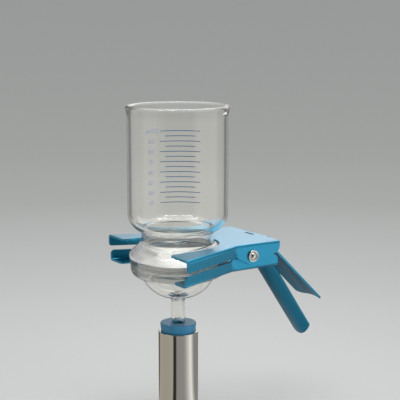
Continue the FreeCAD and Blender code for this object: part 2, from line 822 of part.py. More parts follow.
def write(pieces):
    """Write each piece to its own STEP file and print its size."""
    os.makedirs("parts", exist_ok=True)
    for piece in pieces:
        box = piece.Shape.BoundBox
        print(f"{piece.Label:16s} {piece.Shape.Volume:10.1f} mm3  "
              f"x {box.XMin:7.2f} {box.XMax:7.2f}  y {box.YMin:7.2f} {box.YMax:7.2f}  "
              f"z {box.ZMin:7.2f} {box.ZMax:7.2f}")
        piece.Shape.exportStep(f"parts/{piece.Label}.step")


SHEET = make_sheet()
PIECES = [
    make_column(),
    make_stopper(),
    make_base(),
    make_frit(),
    make_membrane(),
    make_funnel(),
    make_jaw("upper"),
    make_jaw("lower"),
    make_pin(),
    make_cap(),
    make_washer("front_washer", 90),
    make_washer("rear_washer", -90),
    make_spacer(),
    make_spring(),
]
check(PIECES)
write(PIECES)
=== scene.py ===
"""Looks of the vacuum filtration unit: blown glass, anodised sheet clamp, silicone stopper, steel column.

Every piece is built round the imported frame, in metres, with +Z up and the glass axis at the origin.
"""
import json
import math

import bmesh
import bpy
import numpy as np
from bpy.props import FloatProperty, FloatVectorProperty, IntProperty, PointerProperty
from bpy.types import Operator, Panel, PropertyGroup
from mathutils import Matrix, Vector


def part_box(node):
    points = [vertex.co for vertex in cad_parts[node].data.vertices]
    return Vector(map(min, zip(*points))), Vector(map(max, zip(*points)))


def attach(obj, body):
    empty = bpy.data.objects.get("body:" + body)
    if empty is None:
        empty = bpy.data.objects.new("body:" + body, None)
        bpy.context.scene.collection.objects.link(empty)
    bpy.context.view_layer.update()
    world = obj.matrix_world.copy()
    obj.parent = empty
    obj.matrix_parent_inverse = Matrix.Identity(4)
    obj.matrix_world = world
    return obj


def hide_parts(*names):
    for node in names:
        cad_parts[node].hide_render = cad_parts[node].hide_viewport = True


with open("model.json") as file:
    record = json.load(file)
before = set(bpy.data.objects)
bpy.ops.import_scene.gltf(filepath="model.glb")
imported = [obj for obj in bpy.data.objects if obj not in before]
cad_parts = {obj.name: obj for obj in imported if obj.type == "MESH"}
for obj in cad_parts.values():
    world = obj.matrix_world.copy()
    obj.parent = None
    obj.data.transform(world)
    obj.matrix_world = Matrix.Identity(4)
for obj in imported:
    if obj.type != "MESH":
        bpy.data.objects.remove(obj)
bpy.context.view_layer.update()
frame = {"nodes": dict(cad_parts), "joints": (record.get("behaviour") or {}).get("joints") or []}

bl_info = {
    "name": "Vacuum Filtration Unit",
    "version": (1, 0, 0),
    "blender": (4, 5, 0),
    "location": "View3D > Sidebar > Filtration",
    "description": "Builds the finished pieces of a glass filter holder round its packed frame",
    "category": "Object",
}

MM = 0.001
# Lowest and highest corners of each node. The highest x of a piece round the upright axis is its radius.
BOX = {name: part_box(name) for name in frame["nodes"]}
GLASS_BODY = "glass_stack"
HINGE = Vector(frame["joints"][0]["pos_m"])
SEAM = (BOX["filter_membrane"][0].z + BOX["filter_membrane"][1].z) / 2
HALF_MEMBRANE = (BOX["filter_membrane"][1].z - BOX["filter_membrane"][0].z) / 2

# Sockets of a Mix node that mixes colours.
MIX_FACTOR, MIX_FIRST, MIX_SECOND, MIX_RESULT = 0, 6, 7, 2

# Longest straight step of a section and of a small one, largest step round an arc, and the angle from which
# an edge is shaded sharp. Points nearer than MERGE become one.
RUN, FINE_RUN, ARC, SHARP = 3 * MM, 0.5 * MM, math.radians(5), math.radians(32)
MERGE = 0.001 * MM
# Steps round a large piece, a small one and the wire, and points along a printed line and a spring leg.
LARGE_TURN, SMALL_TURN, WIRE_TURN = 192, 96, 16
LINE_STEPS, LEG_STEPS = 49, 12
# The frit bites into the recess that it is fused to, and the membrane lies slack between the ground faces.
FRIT_BITE, MEMBRANE_SLACK = 0.04 * MM, 0.03 * MM
# A digit's height as a share of its font size, and the lower leg's wire as a share of the coil's round it.
DIGIT_SHARE, LEG_SHARE = 0.7, 0.985
# A face is flat where its normal is this near to upright.
UPRIGHT = 0.9
# Sheet faces within the first angle of each other are one flat face, and edges beyond the second are tumbled.
ONE_FACE, SHEET_EDGE = math.radians(0.5), math.radians(35)
# A wave texture of scale 1 repeats at this distance.
WAVE = 0.1 * math.pi


# ---------------------------------------------------------------- settings
def length(label, about, millimetres):
    """A length property, given in millimetres and kept in metres."""
    return FloatProperty(name=label, description=about, default=millimetres * MM, unit="LENGTH", precision=5)


def angle(label, about, degrees):
    """An angle property, given in degrees and kept in radians."""
    return FloatProperty(name=label, description=about, default=math.radians(degrees), subtype="ANGLE")


def from_hex(text):
    """Linear colour with alpha 1 from an sRGB hex text such as 3A7F9B."""
    shares = np.array([int(text[i:i + 2], 16) for i in (0, 2, 4)]) / 255
    linear = np.where(shares <= 0.04045, shares / 12.92, ((shares + 0.055) / 1.055) ** 2.4)
    return (*linear.tolist(), 1.0)


def colour(label, about, text):
    """A colour property from an sRGB hex text."""
    return FloatVectorProperty(name=label, description=about, default=from_hex(text), subtype="COLOR",
                               size=4, min=0, max=1)


class GlassSettings(PropertyGroup):
    """Sizes of the blown funnel and base that the frame's boxes do not give."""

    body_radius: length("Body radius", "Outside radius of the funnel's straight body", 35.4)
    body_wall: length("Body wall", "Wall of the funnel's body", 2.7)
    bead_height: length("Bead height", "Height over which the rim thickens to its bead", 6.4)
    bead_round: length("Bead round", "Outer radius of the rim's bead in section", 2.0)
    shoulder_radius: length("Shoulder", "Radius of the funnel's shoulder in section", 14.0)
    shoulder_height: length("Shoulder height", "Height of the shoulder's top above the seam", 32.7)
    shoulder_fillet: length("Shoulder fillet", "Round between shoulder and neck", 1.5)
    neck_radius: length("Neck radius", "Outside radius of the neck", 25.9)
    neck_wall: length("Neck wall", "Wall of the neck", 2.9)
    neck_fillet: length("Neck fillet", "Round between neck and cone", 2.0)
    throat_top: length("Throat top", "Where the throat starts to close, above the seam", 9.5)
    throat_low: length("Throat low", "Where the throat reaches the filter's bore, above the seam", 2.5)
    cone_slope: angle("Cone slope", "Slope of the clamping cone", 41.5)
    cone_edge_height: length("Cone edge height", "Height of the cone's rounded edge", 5.0)
    cone_edge_radius: length("Cone edge radius", "Radius at the cone's rounded edge", 33.4)
    cone_edge_round: length("Cone edge round", "Round of the flange's edge in section", 4.2)
    stem_radius: length("Stem radius", "Outside radius of the stem", 4.8)
    stem_bore: length("Stem bore", "Radius of the stem's bore", 3.2)
    stem_bevel: angle("Stem bevel", "Angle of the ground stem tip", 35)
    stem_root: length("Stem root", "Round between bowl and stem", 3.0)
    stem_mouth: length("Stem mouth", "Round between bowl and bore", 2.0)
    bowl_radius: length("Bowl radius", "Outside radius of the bowl in section", 24.5)
    bowl_out: length("Bowl offset", "Distance of the bowl's arc centre from the axis", 3.0)
    bowl_down: length("Bowl depth", "Depth of the bowl's arc centre below the seam", 4.5)
    bowl_wall: length("Bowl wall", "Wall of the bowl", 2.5)
    bowl_crown: length("Bowl crown", "Inner round under the filter's ledge", 8.0)
    bowl_waist: length("Bowl waist", "Depth of that round's end below the arc centre", 8.9)
    flange_rake: length("Flange rake", "Draft of the flange's side", 0.6)
    flange_side: length("Flange side", "Height of the flange's side", 6.4)
    flange_round: length("Flange round", "Round under the flange", 6.8)
    ledge_width: length("Ledge", "Width of the ledge that carries the filter", 1.2)


class ScaleSettings(PropertyGroup):
    """The graduation printed on the back of the funnel."""

    first_height: length("First line", "Height of the lowest line above the seam", 34.1)
    last_height: length("Last line", "Height of the highest line above the seam", 86.7)
    line_width: length("Line width", "Height of each printed line", 0.55)
    digit_height: length("Digit height", "Height of the printed digits", 2.9)
    ink_depth: length("Ink", "How far the fired ink stands out of the glass", 0.03)
    ink_bite: length("Ink bite", "How far the ink reaches into the glass", 0.01)
    azimuth: angle("Azimuth", "Direction of the middle of the lines", 54.5)
    digit_azimuth: angle("Digit azimuth", "Direction of the middle of the digits", 93)
    long_half: angle("Long half", "Half the arc of a long line", 26)
    short_half: angle("Short half", "Half the arc of a short line", 19)
    first_volume: IntProperty(name="First volume", description="Volume at the lowest line, in millilitres",
                              default=75)
    volume_step: IntProperty(name="Step", description="Volume between long lines, in millilitres", default=25)
    long_lines: IntProperty(name="Long lines", description="Number of numbered lines", default=8)


class MetalSettings(PropertyGroup):
    """Sizes of the column, stopper and hinge that the frame's boxes do not give."""

    column_wall: length("Column wall", "Wall of the steel tube", 1.8)
    column_edge: length("Column edge", "Round of the tube's upper edges", 0.5)
    stopper_edge: length("Stopper edge", "Round of the stopper's edges", 0.6)
    stopper_taper: angle("Stopper taper", "Slope of the stopper's side", 6.4)
    head_edge: length("Head edge", "Height of the rivet head's rim", 1.0)
    head_bead: length("Head bead", "Round of the rivet head's rim in section", 0.6)
    head_bead_width: length("Bead width", "Width of the rivet head's rim", 1.1)
    dome_radius: length("Dome radius", "Radius of the rivet head's dome at its foot", 2.7)
    dome_height: length("Dome height", "Height of the rivet head's dome above its seat", 2.4)
    pin_radius: length("Pin radius", "Radius of the hinge pin", 2.0)
    pin_play: length("Play", "Clearance of the bores round the hinge pin and the stem", 0.05)
    washer_edge: length("Washer edge", "Round of the washers' edges", 0.12)
    wire_radius: length("Wire radius", "Radius of the spring's wire", 0.9)
    coil_radius: length("Coil radius", "Mean radius of the spring's coil", 5.5)
    coil_pitch: length("Coil pitch", "Advance of the coil in one turn", 2.1)
    coil_turns: FloatProperty(name="Turns", description="Full turns of the coil", default=5)
    leg_length: length("Leg", "Length of each spring leg", 20.0)
    overlap: angle("Overlap", "Turn over which the spring's two pieces overlap", 30)
    spring_play: length("Spring play", "Gap left between a leg and its web", 0.1)
    sheet: length("Sheet", "Thickness of the jaws' sheet", 1.5)
    edge_break: length("Edge break", "Width of the tumbled edges of the sheet", 0.22)
    upper_face: length("Upper face", "Height of the upper web above the seam", 10.43)
    lower_face: length("Lower face", "Depth of the lower web below the seam", 8.76)


class FinishSettings(PropertyGroup):
    """Colours of the finishes."""

    anodised: colour("Anodised", "Dye of the anodised jaws", "067FA2")
    silicone: colour("Silicone", "Colour of the stopper", "3583AB")
    ink: colour("Ink", "Colour of the fired graduation lines", "3468A8")
    fine_ink: colour("Fine ink", "Colour of the volumes, printed thinner than the lines", "8CA6DC")
    frit: colour("Frit", "Colour of the sintered glass", "FCFCFA")
    steel: colour("Steel", "Colour of the polished column", "C3C0B8")


class StageSettings(PropertyGroup):
    """Camera, backdrop and lamps."""

    camera_distance: length("Camera distance", "Level distance from the glass axis to the camera", 745.86)
    camera_height: length("Camera height", "Height of the camera above the seam", 167.73)
    camera_azimuth: angle("Camera azimuth", "Turn of the camera round the object", -31.99)
    camera_pitch: angle("Camera pitch", "How far the camera looks down", 9.63)
    camera_yaw: angle("Camera yaw", "How far the camera looks past the axis", 1.2)
    lens: FloatProperty(name="Lens", description="Focal length in millimetres", default=96.73, unit="CAMERA")
    floor_reach: length("Floor reach", "Radius at which the floor starts to curve up", 1400)
    sweep_round: length("Sweep round", "Radius of the curve between floor and wall", 700)
    wall_height: length("Wall height", "Height of the backdrop's wall", 2600)


# ---------------------------------------------------------------- surfaces
def arc_between(first, last, radius):
    """Points after first up to last on the short arc of a signed radius, anticlockwise when positive.

    The centre lies on the chord's middle line; the angle runs evenly from one end to the other.
    """
    chord = last - first
    left = np.array([-chord[1], chord[0]]) / np.linalg.norm(chord)
    reach = math.sqrt(max(radius ** 2 - chord @ chord / 4, 0.0))
    centre = (first + last) / 2 + left * math.copysign(reach, radius)
    start, stop = (math.atan2(*(point - centre)[::-1]) for point in (first, last))
    sweep = (stop - start + math.pi) % math.tau - math.pi
    steps = max(2, math.ceil(abs(sweep) / ARC))
    angles = start + sweep * np.arange(1, steps + 1) / steps
    return centre + abs(radius) * np.stack([np.cos(angles), np.sin(angles)], axis=1)


def section(points, spacing):
    """Closed section through (across, up) or (across, up, radius of the arc that arrives) points.

    Straight runs are divided evenly into steps no longer than the spacing, arcs into even angles.
    """
    rows = []
    for here, there in zip(points, points[1:] + points[:1]):
        first, last = np.array(here[:2]), np.array(there[:2])
        if len(there) == 3:
            rows.append(arc_between(first, last, there[2]))
            continue
        steps = max(1, math.ceil(np.linalg.norm(last - first) / spacing))
        rows.append(first + (last - first) * np.arange(1, steps + 1)[:, None] / steps)
    return np.concatenate(rows)


def grid_faces(rows, columns, wrap_rows=False, wrap_columns=False):
    """Quads of a grid of rows by columns points, joined round either way when asked."""
    row = np.arange(rows if wrap_rows else rows - 1)[:, None]
    column = np.arange(columns if wrap_columns else columns - 1)[None, :]
    next_row, next_column = (row + 1) % rows, (column + 1) % columns
    corners = (row * columns + column, row * columns + next_column,
               next_row * columns + next_column, next_row * columns + column)
    return np.stack([np.broadcast_to(c, (row.size, column.size)).ravel() for c in corners], axis=1)


def make_piece(name, points, faces, material):
    """A smooth-shaded object at the origin from arrays of points and faces, with its doubles merged."""
    mesh = bpy.data.meshes.new(name)
    mesh.from_pydata(points, [], faces)
    work = bmesh.new()
    work.from_mesh(mesh)
    bmesh.ops.remove_doubles(work, verts=work.verts, dist=MERGE)
    bmesh.ops.dissolve_degenerate(work, edges=work.edges, dist=MERGE / 2)
    bmesh.ops.recalc_face_normals(work, faces=work.faces)
    work.to_mesh(mesh)
    work.free()
    mesh.polygons.foreach_set("use_smooth", np.ones(len(mesh.polygons), dtype=bool))
    mesh.set_sharp_from_angle(angle=SHARP)
    mesh.materials.append(material)
    made = bpy.data.objects.new(name, mesh)
    bpy.context.scene.collection.objects.link(made)
    return made


def read_points(mesh):
    """The places of a mesh's points, one row each."""
    flat = np.empty(len(mesh.vertices) * 3)
    mesh.vertices.foreach_get("co", flat)
    return flat.reshape(-1, 3)


def write_points(mesh, points):
    """Move a mesh's points to these places, one row each."""
    mesh.vertices.foreach_set("co", points.ravel())
    mesh.update()


def turned(profile, steps):
    """Points (radius cos a, radius sin a, height) for each row of a profile and each of the angles a."""
    turn = math.tau * np.arange(steps) / steps
    radius, height = profile[:, 0, None], profile[:, 1, None]
    return np.stack([radius * np.cos(turn), radius * np.sin(turn), height + 0 * turn], axis=2).reshape(-1, 3)


def lathe(name, points, material, steps=LARGE_TURN, spacing=RUN):
    """A turned piece: the closed section through the points, carried once round the upright axis."""
    profile = section(points, spacing)
    return make_piece(name, turned(profile, steps), grid_faces(len(profile), steps, True, True), material)


def lay_on_hinge(piece, front):
    """Turn a piece's points from the upright axis to the hinge's, with its top to the front or the rear."""
    mesh = piece.data
    across, deep, up = read_points(mesh).T
    side = -1 if front else 1
    write_points(mesh, np.stack([HINGE.x + across, side * up, HINGE.z - side * deep], axis=1))
    return piece


def carried(name, path, radius, material):
    """A round wire: the circle of a radius carried along a path of points, with flat ends.

    Each circle lies across the path's direction there, and starts square to the hinge's axis.
    """
    along = np.gradient(path, axis=0)
    along /= np.linalg.norm(along, axis=1)[:, None]
    side = np.cross(along, [0.0, 1.0, 0.0])
    side /= np.linalg.norm(side, axis=1)[:, None]
    other = np.cross(along, side)
    turn = (math.tau * np.arange(WIRE_TURN) / WIRE_TURN)[:, None]
    places = path[:, None] + radius * (side[:, None] * np.cos(turn) + other[:, None] * np.sin(turn))
    ends = np.broadcast_to(path[[0, -1], None], (2, WIRE_TURN, 3))
    capped = np.concatenate([ends[:1], places, ends[1:]])
    return make_piece(name, capped.reshape(-1, 3), grid_faces(len(capped), WIRE_TURN, False, True), material)


def stand_for(made, node, body=GLASS_BODY):
    """Let a piece ride on its body and stand for a node of the frame, whose own mesh is hidden."""
    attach(made, body)
    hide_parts(node)


# ---------------------------------------------------------------- finishes
def add_node(tree, kind, inputs=None, stops=(), **settings):
    """Add a node, apply its settings and a ramp's (place, hex) stops, then set or link its inputs.

    An input is linked to a socket, or to the first output of a node. A text is a colour in hex.
    """
    node = tree.nodes.new("ShaderNode" + kind)
    for name, value in settings.items():
        setattr(node, name, value)
    for index, (place, tone) in enumerate(stops):
        ramp = node.color_ramp.elements
        stop = ramp[index] if index < 2 else ramp.new(place)
        stop.position, stop.color = place, from_hex(tone)
    for socket, value in (inputs or {}).items():
        if isinstance(value, (bpy.types.Node, bpy.types.NodeSocket)):
            source = value.outputs[0] if isinstance(value, bpy.types.Node) else value
            tree.links.new(source, node.inputs[socket])
        else:
            node.inputs[socket].default_value = from_hex(value) if isinstance(value, str) else value
    return node


def new_material(name):
    """A material, its empty node tree and the place of each point, in the object's own metres."""
    material = bpy.data.materials.new(name)
    material.use_nodes = True
    tree = material.node_tree
    tree.nodes.clear()
    return material, tree, add_node(tree, "TexCoord").outputs["Object"]


def finished(material, shader):
    """The material, with this shader's node as its surface."""
    add_node(material.node_tree, "OutputMaterial", {"Surface": shader})
    return material


def made_once(make, *settings):
    """The material that is named as its function is, made on first use."""
    return bpy.data.materials.get(make.__name__) or make(*settings)


def per(millimetres):
    """Texture scale that gives a pattern of this size."""
    return 1 / (millimetres * MM)


def borosilicate_glass():
    """Blown borosilicate: nearly colourless, with the faint waves that hot working leaves.

    Lamps reach through it, so what stands behind it is lit.
    """
    material, tree, place = new_material("borosilicate_glass")
    waves = add_node(tree, "TexNoise", {"Vector": place, "Scale": per(14), "Detail": 1.0})
    bump = add_node(tree, "Bump", {"Height": waves, "Strength": 0.25, "Distance": 0.12 * MM})
    glass = add_node(tree, "BsdfPrincipled", {
        "Base Color": "FFFEFB", "Roughness": 0.0, "IOR": 1.473, "Transmission Weight": 1.0, "Normal": bump})
    clear = add_node(tree, "BsdfTransparent", {"Color": "FAFAFA"})
    shadow = add_node(tree, "LightPath").outputs["Is Shadow Ray"]
    both = add_node(tree, "MixShader", {0: shadow, 1: glass, 2: clear})
    return finished(material, both)


def ground_glass():
    """Ground sealing face: lapped with grit until frosted white, with the rings that the lap leaves.

    The grit is drawn at 0.15 mm and the rings at 2.6 mm, coarser than they are, so that they show.
    """
    material, tree, place = new_material("ground_glass")
    grit = add_node(tree, "TexNoise", {"Vector": place, "Scale": per(0.15), "Detail": 2.0})
    bump = add_node(tree, "Bump", {"Height": grit, "Strength": 0.4, "Distance": 0.02 * MM})
    rings = add_node(tree, "TexWave", {"Vector": place, "Scale": WAVE * per(2.6), "Distortion": 1.5},
                     wave_type="RINGS", rings_direction="Z")
    tone = add_node(tree, "Mix", {
        MIX_FACTOR: rings, MIX_FIRST: "D2D6D6", MIX_SECOND: "FDFEFE"}, data_type="RGBA")
    frost = add_node(tree, "BsdfPrincipled", {
        "Base Color": tone.outputs[MIX_RESULT], "Roughness": 0.5, "IOR": 1.473, "Transmission Weight": 0.88,
        "Normal": bump})
    return finished(material, frost)


def fired_ink(name, thick, thin):
    """Screen-printed ceramic ink fired onto glass: opaque, satin, and paler where it lies thinner."""
    material, tree, place = new_material(name)
    grain = add_node(tree, "TexNoise", {"Vector": place, "Scale": per(0.6), "Detail": 2.0})
    tone = add_node(tree, "Mix", {
        MIX_FACTOR: grain, MIX_FIRST: thick, MIX_SECOND: thin}, data_type="RGBA")
    ink = add_node(tree, "BsdfPrincipled", {"Base Color": tone.outputs[MIX_RESULT], "Roughness": 0.4})
    return finished(material, ink)


def fused_powder(finish):
    """Fused glass powder: matt white, with its grain drawn at half a millimetre so that it shows."""
    material, tree, place = new_material("fused_powder")
    grain = add_node(tree, "TexVoronoi", {"Vector": place, "Scale": per(0.5)})
    tone = add_node(tree, "Mix", {
        MIX_FACTOR: grain.outputs["Distance"], MIX_FIRST: "EEEFEB", MIX_SECOND: finish.frit},
        data_type="RGBA")
    bump = add_node(tree, "Bump", {
        "Height": grain.outputs["Distance"], "Strength": 0.5, "Distance": 0.15 * MM})
    frit = add_node(tree, "BsdfPrincipled", {
        "Base Color": tone.outputs[MIX_RESULT], "Roughness": 0.75, "Normal": bump})
    return finished(material, frit)


def cellulose_membrane():
    """Cast cellulose membrane: even matt white. Its tooth is too fine to show, and is drawn at 0.25 mm."""
    material, tree, place = new_material("cellulose_membrane")
    tooth = add_node(tree, "TexNoise", {"Vector": place, "Scale": per(0.25), "Detail": 3.0})
    tone = add_node(tree, "Mix", {
        MIX_FACTOR: tooth, MIX_FIRST: "E6E7E3", MIX_SECOND: "F3F3EF"}, data_type="RGBA")
    bump = add_node(tree, "Bump", {"Height": tooth, "Strength": 0.2, "Distance": 0.03 * MM})
    sheet = add_node(tree, "BsdfPrincipled", {
        "Base Color": tone.outputs[MIX_RESULT], "Roughness": 0.85, "Normal": bump})
    return finished(material, sheet)


def moulded_silicone(finish):
    """Moulded silicone: soft satin blue that lets a little light in, with the mould's fine eroded texture."""
    material, tree, place = new_material("moulded_silicone")
    cloud = add_node(tree, "TexNoise", {"Vector": place, "Scale": per(6), "Detail": 2.0})
    tone = add_node(tree, "Mix", {
        MIX_FACTOR: cloud, MIX_FIRST: finish.silicone, MIX_SECOND: "3B8CB4"}, data_type="RGBA")
    texture = add_node(tree, "TexNoise", {"Vector": place, "Scale": per(0.35), "Detail": 3.0})
    bump = add_node(tree, "Bump", {"Height": texture, "Strength": 0.3, "Distance": 0.04 * MM})
    rubber = add_node(tree, "BsdfPrincipled", {
        "Base Color": tone.outputs[MIX_RESULT], "Roughness": 0.42, "IOR": 1.43, "Subsurface Weight": 0.15,
        "Subsurface Radius": (0.4, 0.8, 1.0), "Subsurface Scale": 1.5 * MM, "Normal": bump})
    return finished(material, rubber)


def anodised_sheet(finish):
    """Anodised aluminium, rolled, etched and dyed: satin blue metal with faint lines along the sheet."""
    material, tree, place = new_material("anodised_sheet")
    stretch = add_node(tree, "Mapping", {"Vector": place, "Scale": (0.04, 1.0, 1.0)})
    rolling = add_node(tree, "TexNoise", {"Vector": stretch, "Scale": per(0.5), "Detail": 3.0})
    etch = add_node(tree, "TexNoise", {"Vector": place, "Scale": per(0.3), "Detail": 2.0})
    tone = add_node(tree, "Mix", {
        MIX_FACTOR: rolling, MIX_FIRST: finish.anodised, MIX_SECOND: "0A87AB"}, data_type="RGBA")
    rough = add_node(tree, "MapRange", {"Value": etch, "To Min": 0.24, "To Max": 0.34})
    bump = add_node(tree, "Bump", {"Height": rolling, "Strength": 0.15, "Distance": 0.02 * MM})
    metal = add_node(tree, "BsdfPrincipled", {
        "Base Color": tone.outputs[MIX_RESULT], "Metallic": 0.72, "Roughness": rough,
        "Coat Weight": 0.3, "Coat Roughness": 0.15, "Coat IOR": 1.5, "Normal": bump})
    return finished(material, metal)


def mirror_steel(finish):
    """Turned and belt-polished stainless tube: mirror bright, with fine rings that blur what it reflects."""
    material, tree, place = new_material("mirror_steel")
    stretch = add_node(tree, "Mapping", {"Vector": place, "Scale": (0.05, 0.05, 1.0)})
    rings = add_node(tree, "TexNoise", {"Vector": stretch, "Scale": per(0.35), "Detail": 4.0})
    rough = add_node(tree, "MapRange", {"Value": rings, "To Min": 0.015, "To Max": 0.05})
    bump = add_node(tree, "Bump", {"Height": rings, "Strength": 0.12, "Distance": 0.01 * MM})
    metal = add_node(tree, "BsdfPrincipled", {
        "Base Color": finish.steel, "Metallic": 1.0, "Roughness": rough, "Normal": bump})
    return finished(material, metal)


def bright_nickel():
    """Nickel-plated steel: mirror bright, duller in patches where it was tumbled."""
    material, tree, place = new_material("bright_nickel")
    marks = add_node(tree, "TexNoise", {"Vector": place, "Scale": per(0.8), "Detail": 3.0})
    rough = add_node(tree, "MapRange", {"Value": marks, "To Min": 0.04, "To Max": 0.14})
    metal = add_node(tree, "BsdfPrincipled", {"Base Color": "C9C7C2", "Metallic": 1.0, "Roughness": rough})
    return finished(material, metal)


def drawn_wire():
    """Hard-drawn spring wire: dark oiled steel, mottled where the oil has dried."""
    material, tree, place = new_material("drawn_wire")
    lines = add_node(tree, "TexNoise", {"Vector": place, "Scale": per(0.4), "Detail": 3.0})
    tone = add_node(tree, "Mix", {
        MIX_FACTOR: lines, MIX_FIRST: "8C8A86", MIX_SECOND: "A9A7A2"}, data_type="RGBA")
    metal = add_node(tree, "BsdfPrincipled", {
        "Base Color": tone.outputs[MIX_RESULT], "Metallic": 1.0, "Roughness": 0.28})
    return finished(material, metal)


def drawn_aluminium():
    """Plain drawn aluminium tube: pale satin metal with fine lines along its length."""
    material, tree, place = new_material("drawn_aluminium")
    stretch = add_node(tree, "Mapping", {"Vector": place, "Scale": (1.0, 0.05, 1.0)})
    lines = add_node(tree, "TexNoise", {"Vector": stretch, "Scale": per(0.3), "Detail": 3.0})
    rough = add_node(tree, "MapRange", {"Value": lines, "To Min": 0.22, "To Max": 0.4})
    metal = add_node(tree, "BsdfPrincipled", {"Base Color": "C9CACB", "Metallic": 1.0, "Roughness": rough})
    return finished(material, metal)


# ---------------------------------------------------------------- glass
def fillet_below(centre, height, radius, line, fillet):
    """Where a fillet under an arc leaves the arc, and where it reaches an upright line.

    Its own centre lies a fillet out from the line and radius plus fillet from the arc's centre. It leaves the
    arc on the line between the centres, and reaches the upright line level with its own centre.
    """
    offset = line + fillet - centre
    drop = math.sqrt((radius + fillet) ** 2 - offset ** 2)
    share = radius / (radius + fillet)
    return (centre + offset * share, height - drop * share), (line, height - drop)


def funnel_section(glass):
    """Closed section of the funnel's wall: outside up to the bead, then down the inside."""
    top, low = BOX["funnel"][1].z, SEAM + HALF_MEMBRANE
    bead_radius, flange = BOX["funnel"][1].x, BOX["support_base"][1].x
    frit = BOX["frit_disc"][1].x
    body, neck, slope = glass.body_radius, glass.neck_radius, glass.cone_slope
    bore, neck_bore = body - glass.body_wall, neck - glass.neck_wall
    turn_in = glass.neck_fillet * math.tan((math.pi / 2 - slope) / 2)
    cone_top = SEAM + glass.cone_edge_height + (glass.cone_edge_radius - neck) * math.tan(slope)
    shoulder = SEAM + glass.shoulder_height
    round_out, fillet = glass.shoulder_radius, glass.shoulder_fillet
    round_in = round_out - glass.body_wall
    shoulder_foot, neck_top = fillet_below(body - round_out, shoulder, round_out, neck, fillet)
    inner_foot, bore_top = fillet_below(body - round_out, shoulder, round_in, neck_bore, fillet)
    step, fall = (neck_bore - frit) / 2, (glass.throat_top - glass.throat_low) / 2
    sweep = (step ** 2 + fall ** 2) / (2 * step)
    inner_bead = bead_radius - bore - glass.bead_round
    return [
        (frit, low),
        (flange, low),
        (glass.cone_edge_radius, SEAM + glass.cone_edge_height, glass.cone_edge_round),
        (neck + turn_in * math.cos(slope), cone_top - turn_in * math.sin(slope)),
        (neck, cone_top + turn_in, -glass.neck_fillet),
        neck_top,
        (*shoulder_foot, -fillet),
        (body, shoulder, round_out),
        (body, top - glass.bead_height),
        (bead_radius, top - glass.bead_round),
        (bead_radius - glass.bead_round, top, glass.bead_round),
        (bore, top - inner_bead, inner_bead),
        (bore, shoulder),
        (*inner_foot, -round_in),
        (*bore_top, fillet),
        (neck_bore, SEAM + glass.throat_top),
        (frit + step, SEAM + glass.throat_low + fall, -sweep),
        (frit, SEAM + glass.throat_low, sweep),
    ]


def base_section(glass):
    """Closed section of the base's wall: recess, bowl inside, stem, bowl outside, flange."""
    flange, frit = BOX["support_base"][1].x, BOX["frit_disc"][1].x
    seat, ledge = BOX["frit_disc"][1].z, BOX["frit_disc"][0].z
    tip = BOX["support_base"][0].z
    centre_x, centre_z = glass.bowl_out, SEAM - glass.bowl_down
    outer, inner = glass.bowl_radius, glass.bowl_radius - glass.bowl_wall
    waist = SEAM - glass.flange_side - glass.flange_round
    side = flange - glass.flange_rake
    bowl_foot, stem_top = fillet_below(centre_x, centre_z, outer, glass.stem_radius, glass.stem_root)
    inner_foot, bore_top = fillet_below(centre_x, centre_z, inner, glass.stem_bore, glass.stem_mouth)
    crown = centre_x + math.sqrt(inner ** 2 - glass.bowl_waist ** 2)
    return [
        (frit, seat),
        (frit, ledge),
        (frit - glass.ledge_width, ledge),
        (crown, centre_z - glass.bowl_waist, -glass.bowl_crown),
        (*inner_foot, -inner),
        (*bore_top, glass.stem_mouth),
        (glass.stem_bore, tip),
        (glass.stem_radius, tip),
        stem_top,
        (*bowl_foot, -glass.stem_root),
        (centre_x + math.sqrt(outer ** 2 - (centre_z - waist) ** 2), waist, outer),
        (side - glass.flange_round, waist),
        (side, SEAM - glass.flange_side, glass.flange_round),
        (flange, seat),
    ]


def bevel_tip(piece, glass):
    """Slope the stem's open end: a point rises by (x + radius) tan(bevel), fading out four radii up."""
    mesh = piece.data
    points = read_points(mesh)
    tip, fade = BOX["support_base"][0].z, 4 * glass.stem_radius
    share = np.clip(1 - (points[:, 2] - tip) / fade, 0, 1)
    points[:, 2] += share * (points[:, 0] + glass.stem_radius) * math.tan(glass.stem_bevel)
    write_points(mesh, points)


def grind(piece):
    """Give the flat faces next to the seam the ground finish."""
    mesh = piece.data
    mesh.materials.append(made_once(ground_glass))
    middle, normal = np.empty((2, len(mesh.polygons) * 3))
    mesh.polygons.foreach_get("center", middle)
    mesh.polygons.foreach_get("normal", normal)
    near = np.abs(middle.reshape(-1, 3)[:, 2] - SEAM) < 2 * HALF_MEMBRANE
    flat = np.abs(normal.reshape(-1, 3)[:, 2]) > UPRIGHT
    mesh.polygons.foreach_set("material_index", (near & flat).astype(np.int32))


class FILTRATION_OT_funnel(Operator):
    """Blow the funnel: one closed wall from the ground face to the beaded rim"""

    bl_idname = "filtration.funnel"
    bl_label = "Funnel"

    def execute(self, context):
        made = lathe("funnel_glass", funnel_section(context.scene.filtration_glass),
                     made_once(borosilicate_glass))
        grind(made)
        stand_for(made, "funnel")
        return {"FINISHED"}


class FILTRATION_OT_base(Operator):
    """Blow the base: flange with the filter's recess, round bowl and bevelled stem"""

    bl_idname = "filtration.base"
    bl_label = "Base"

    def execute(self, context):
        settings = context.scene.filtration_glass
        made = lathe("base_glass", base_section(settings), made_once(borosilicate_glass))
        bevel_tip(made, settings)
        grind(made)
        stand_for(made, "support_base")
        return {"FINISHED"}


